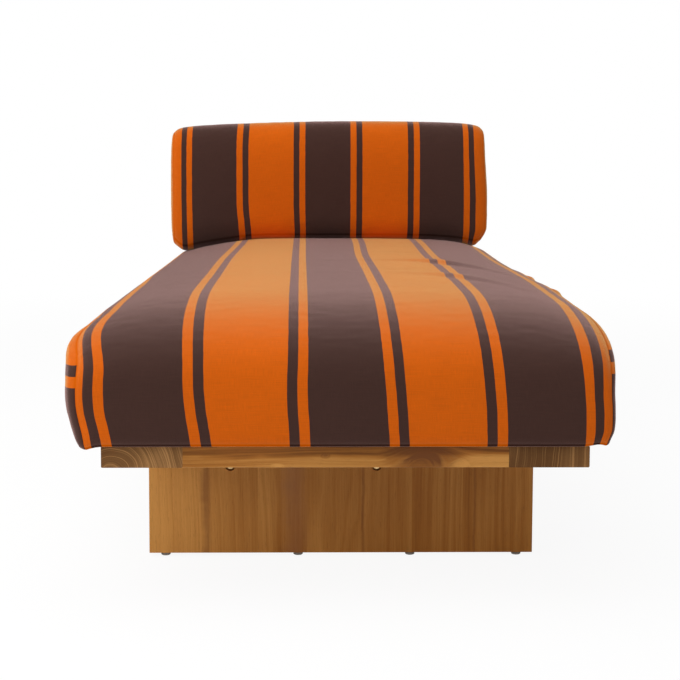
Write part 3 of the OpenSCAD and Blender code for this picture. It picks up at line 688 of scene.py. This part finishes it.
def mattress_lie(x, y, z):
    """How the mattress lies on the day: fuller at the foot end and its upper corners, sagging
    towards the head end's left, its cloth swung to the left on top and to the right at the bottom
    of the face, with two folds across the right half of the top and two puffs along the right
    seam."""
    level = (z - SOFT_Z) / (CROWN_Z - SOFT_Z)
    foot, front = ramp(y, 0.5, -0.5), ramp(y, -0.72, -0.97)
    left, sag = ramp(x, -0.15, -0.40), np.clip((y + 0.85) / 1.75, 0, 1)
    beyond = np.maximum(np.abs(x) - SEAM_X, 0)

    # The strip swings left on top and right at the bottom of the face, where it is narrower too,
    # and the face's left half lies a little further left at middle height.
    swing = (1 - 0.95 * bell(x, -0.085, 0.085)) * ramp(x, -0.38, -0.16)
    shift = (0.0045 - 0.0175 * level) * swing * ramp(y, 0.79, 0.0)
    shift += ((0.0005 - 0.011 * x + 0.003 * ramp(x, -0.25, -0.37))
              * ramp(z, 0.3145, 0.2445) ** 1.5 * ramp(y, 0.6, -0.6))
    shift -= 0.0022 * ramp(x, 0.02, -0.06) * bell(level, 0.42, 0.22) * ramp(y, -0.90, -0.97)

    # The left side sags inwards towards the head, and stands out at the foot.
    shift += 0.010 * sag * left * level
    shift -= (0.013 * ramp(x, -0.20, -0.37) * ramp(level, 0.55, 0.85)
              + 0.0015 * ramp(x, -0.25, -0.37) * ramp(level, 0.05, 0.35)) * ramp(y, -0.80, -0.94)
    shift -= ((x < 0) * beyond * front * (0.8 + 1.1 * ramp(level, 0.42, 0.72))
              * ramp(level, -0.25, 0.12))

    # The top is fuller at the foot, and sinks on the left towards the head.
    lift = level * (0.005 * foot * (1 - 0.8 * left * (1 - front)) - 0.0205 * sag * left)

    # The right side stands out at its upper corner, tucks under at its lower one, and is higher
    # along the seam.
    shift += 0.010 * ramp(x, 0.35, 0.40) * foot * ramp(level, 0.35, 0.8)
    shift -= 0.007 * ramp(x, 0.36, 0.40) * ramp(level, 0.12, 0.0)
    shift += (x > 0) * beyond * foot * (0.65 * ramp(level, 0.35, 0.8) - 0.18)
    lift += 0.006 * ramp(x, 0.36, 0.40) * ramp(level, 0.3, 0.0)
    edge = (ramp(x, 0.30, 0.39) * ramp(y, -0.85, -0.35) * ramp(y, 0.80, 0.70)
            * ramp(level, 0.4, 0.9))
    shift, lift = shift + 0.0025 * edge, lift + 0.004 * edge

    # Each fold is a ridge with a hollow before it, on a curve towards the right foot corner.
    for place, height, width in FOLDS:
        across = (y - place + 8 * (x - 0.15) * np.abs(x - 0.15)) / width
        ridge = bell(across, 0, 1) - 0.7 * bell(across, -1.9, 1)
        lift += height * level * bell(x, 0.25, 0.085) * ridge

    # The puffs are swellings of the seam with a pinch between them.
    puff = sum(size * bell(y, place, 0.06) for place, size in PUFFS)
    puff *= ramp(level, 0.55, 0.90) * (0.3 * ramp(x, 0.375, 0.400) + 0.7 * (x > SEAM_X + 0.001))
    shift, lift = shift + 0.007 * puff, lift + 0.006 * puff
    return np.stack([shift, np.zeros_like(x), lift], 1)


def mattress_strip_cloth(x, y):
    """Across the strip. The cloth of its left half lies 3.5 mm further right, less so beside the
    left seam at the foot end. Along the seams it lies further left: by up to 30 mm, so outwards,
    at the left one, and by 4 mm, so inwards, at the right one."""
    right = 0.0035 * ramp(x, 0.15, -0.03)
    right *= 1 - 0.8 * ramp(x, -0.10, -0.25) * ramp(y, -0.35, -0.65)
    pull = 0.014 * ramp(y, -0.80, -0.35) + 0.016 * ramp(y, -0.35, 0.10)
    return x - right + ramp(x, -0.31, -0.385) * pull + 0.004 * ramp(x, 0.360, 0.388)


def mattress_side_cloth(sign, y, z):
    """The side panels' stripes run lengthwise, at a height of their own on each side."""
    return z - (LEFT_STRIPES_Z if sign < 0 else RIGHT_STRIPES_Z), y


mattress_path = np.vstack([
    quarter(FOOT_Y + LOW_R, SOFT_Z + LOW_R, LOW_R, LOW_R, 2, 180),
    quarter(FOOT_Y + ROLL_L, CROWN_Z - ROLL_H, ROLL_L, ROLL_H, 2.4, 90),
    quarter(HEAD_Y - REAR_R, CROWN_Z - REAR_R, REAR_R, REAR_R, 2.3, 0),
    quarter(HEAD_Y - LOW_R, SOFT_Z + LOW_R, LOW_R, LOW_R, 2, 270)])
mattress_corners = ((FOOT_Y + MITRE * LOW_R, SOFT_Z + MITRE * LOW_R), ROLL_CORNER,
                    (HEAD_Y - MITRE * REAR_R, CROWN_Z - MITRE * REAR_R),
                    (HEAD_Y - MITRE * LOW_R, SOFT_Z + MITRE * LOW_R))
points, run = round_outline(mattress_path, mattress_corners, ALONG, UP)
columns = seam_columns(MATTRESS_EVEN, MATTRESS_NEAR_SEAM)
mattress = cover("mattress", points, run, ALONG, UP, columns, mattress_box, MATTRESS_SWELL,
                 MATTRESS_REACH, mattress_strip_cloth, mattress_side_cloth, mattress_lie)
mattress.data.materials.append(canvas("mattress_canvas"))
hold = firmness(mattress, 2 * (ALONG + UP), len(columns), MATTRESS_FIRM,
                lambda x: SOFT_Z + 0.010, HEAD_Y - 0.003, MATTRESS_ZIP_Z)
plump(mattress, hold, MATTRESS_SLACK, 5)
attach(mattress, "mattress")
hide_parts("mattress_core", "mattress_cover_strip", "mattress_cover_base",
            "mattress_cover_left", "mattress_cover_right")

# Back cushion
# A loose foam back cushion in the same canvas, standing on the mattress with its stripes lined up
# with it. Its lower corners hang over the mattress's falling sides.
CUSHION_Z, CUSHION_H = 0.4436, 0.305
CUSHION_Y, CUSHION_T = 0.8763, 0.175
CUSHION_ALONG, CUSHION_UP, CUSHION_EVEN = 20, 36, 38
CUSHION_NEAR_SEAM = (0, 0.003, 0.007, 0.012, 0.018, 0.025, 0.033)
CUSHION_SWELL, CUSHION_REACH = 0.010, 0.0875
CUSHION_CROWN = 0.010
CUSHION_LOW, CUSHION_TOP = (0.045, 0.060), (0.0835, 0.215)
CUSHION_CORNERS = ((0.073, 0.018), (0.070, 0.272))
LIFT_FROM, LIFT_LEFT, LIFT_RIGHT = 0.366, (0.032, 1.6), (0.022, 3)
CUSHION_SIDE_STRIPES = 0.195
CUSHION_FIRM, CUSHION_SLACK = 0.20, 0.0012
CUSHION_ZIP_Z = 0.5185


def cushion_box(x):
    """The cushion's box at x: crowned in both directions, drawn in at the seams, and set on the
    mattress's own crown except for its lower corners. Each of these is lifted by its own height
    times c^power, where c rises from 0 at LIFT_FROM to 1 at the seam."""
    draw = drawn_in(x)
    ends = end_fall(x, CUSHION_SWELL) + draw
    corner = np.clip((np.abs(x) - LIFT_FROM) / (SEAM_X - LIFT_FROM), 0, 1)
    left, right = (height * corner ** power for height, power in (LIFT_LEFT, LIFT_RIGHT))
    lift = np.where(x > 0, right, left)
    low = CROWN_Z - corner_fall(x) + (CUSHION_Z - CROWN_Z) + lift
    high = (CUSHION_Z + CUSHION_H - CUSHION_CROWN * (x / SEAM_X) ** 2
            - fall(x, SEAM_X + CUSHION_SWELL, CUSHION_H / 2, 18) - draw)
    return CUSHION_Y - CUSHION_T / 2 + ends, CUSHION_Y + CUSHION_T / 2 - ends, low, high


def cushion_lie(x, y, z):
    """How the cushion stands: its lower left corner follows the mattress down, its lower right
    corner is rounded off, both its edges lie further right, its top rises to the right, and its
    stripes left of the middle bend to the right."""
    level = (z - CUSHION_Z) / CUSHION_H
    lift = 0.006 * x / SEAM_X * level - 0.014 * ramp(x, -0.15, -0.40) * ramp(level, 0.3, 0.0)
    lift -= 0.005 * ramp(x, -0.20, -0.30) * ramp(level, 0.10, 0.0)
    shift = 0.007 * ramp(x, 0.32, 0.40) * ramp(level, 0.80, 0.30) + 0.004 * ramp(x, -0.37, -0.40)
    shift -= 0.013 * ramp(x, 0.355, 0.405) * ramp(level, 0.10, -0.03)
    shift += bell(x, -0.20, 0.12) * (0.003 + 0.002 * ramp(level, 0.8, 1.0)
                                     + 0.007 * ramp(level, 0.35, 0.02))
    return np.stack([shift, np.zeros_like(x), lift], 1)


def cushion_strip_cloth(x, y):
    """The strip is gathered, so that its stripes are narrower than woven, most at the seams."""
    return x * 1.015 + np.sign(x) * 0.437 * np.maximum(np.abs(x) - 0.24, 0) ** 2


def cushion_side_cloth(sign, y, z):
    """The side panels' stripes stand upright, orange beside the face."""
    return y - CUSHION_Y + CUSHION_SIDE_STRIPES, z


low_y, top_y = CUSHION_T / 2 - CUSHION_LOW[0], CUSHION_T / 2 - CUSHION_TOP[0]
low_z, top_z = CUSHION_Z + CUSHION_LOW[1], CUSHION_Z + CUSHION_H - CUSHION_TOP[1]
cushion_path = np.vstack([quarter(CUSHION_Y - low_y, low_z, *CUSHION_LOW, 2.2, 180),
                          quarter(CUSHION_Y - top_y, top_z, *CUSHION_TOP, 4, 90),
                          quarter(CUSHION_Y + top_y, top_z, *CUSHION_TOP, 4, 0),
                          quarter(CUSHION_Y + low_y, low_z, *CUSHION_LOW, 2.2, 270)])
(low_out, low_up), (top_out, top_up) = CUSHION_CORNERS
cushion_corners = ((CUSHION_Y - low_out, CUSHION_Z + low_up),
                   (CUSHION_Y - top_out, CUSHION_Z + top_up),
                   (CUSHION_Y + top_out, CUSHION_Z + top_up),
                   (CUSHION_Y + low_out, CUSHION_Z + low_up))
points, run = round_outline(cushion_path, cushion_corners, CUSHION_ALONG, CUSHION_UP)
columns = seam_columns(CUSHION_EVEN, CUSHION_NEAR_SEAM)
cushion = cover("back_cushion", points, run, CUSHION_ALONG, CUSHION_UP, columns, cushion_box,
                CUSHION_SWELL, CUSHION_REACH, cushion_strip_cloth, cushion_side_cloth, cushion_lie)
cushion.data.materials.append(canvas("cushion_canvas"))
hold = firmness(cushion, 2 * (CUSHION_ALONG + CUSHION_UP), len(columns), CUSHION_FIRM,
                lambda x: CUSHION_Z + 0.004 - corner_fall(x), CUSHION_Y, CUSHION_ZIP_Z)
plump(cushion, hold, CUSHION_SLACK, 6)
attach(cushion, "back_cushion")
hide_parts("cushion_core", "cushion_cover_strip", "cushion_cover_base",
            "cushion_cover_left", "cushion_cover_right")

# Zips
# A coil zip in the head-end face of each cover: woven tape with two rows of teeth, a lacquered
# metal slider, and a folded pull.
TAPE_DARK, TAPE_PALE = (0.030, 0.018, 0.015), (0.085, 0.052, 0.044)
LACQUER = (0.22, 0.17, 0.14)
tape_finish, tape_shader, tape_where = new_finish("zip_tape_weave", Specular_IOR_Level=0.3)
tape_x, _, tape_z = Wire(tape_where["Object"]).split()
tape_ribs = (tape_x * 3600).math("SINE") * 0.5 + (tape_z * 2600).math("SINE") * 0.5
tape_mottle = Wire(tape_where["Object"]).noise(500.0, 3.0)
tape_bump = {"Height": tape_ribs, "Distance": 0.0002, "Strength": 0.6}
plug(tape_shader, Base_Color=tape_mottle.mix(TAPE_DARK, TAPE_PALE),
     Roughness=tape_mottle * 0.2 + 0.62, Normal=tape_ribs.node("Bump", {}, tape_bump))
dress(tape_finish, "mattress_zip", "cushion_zip")
dress(metal("zip_lacquer", LACQUER, 0.32, 1500.0), "mattress_zip_slider", "mattress_zip_pull",
      "cushion_zip_slider", "cushion_zip_pull")
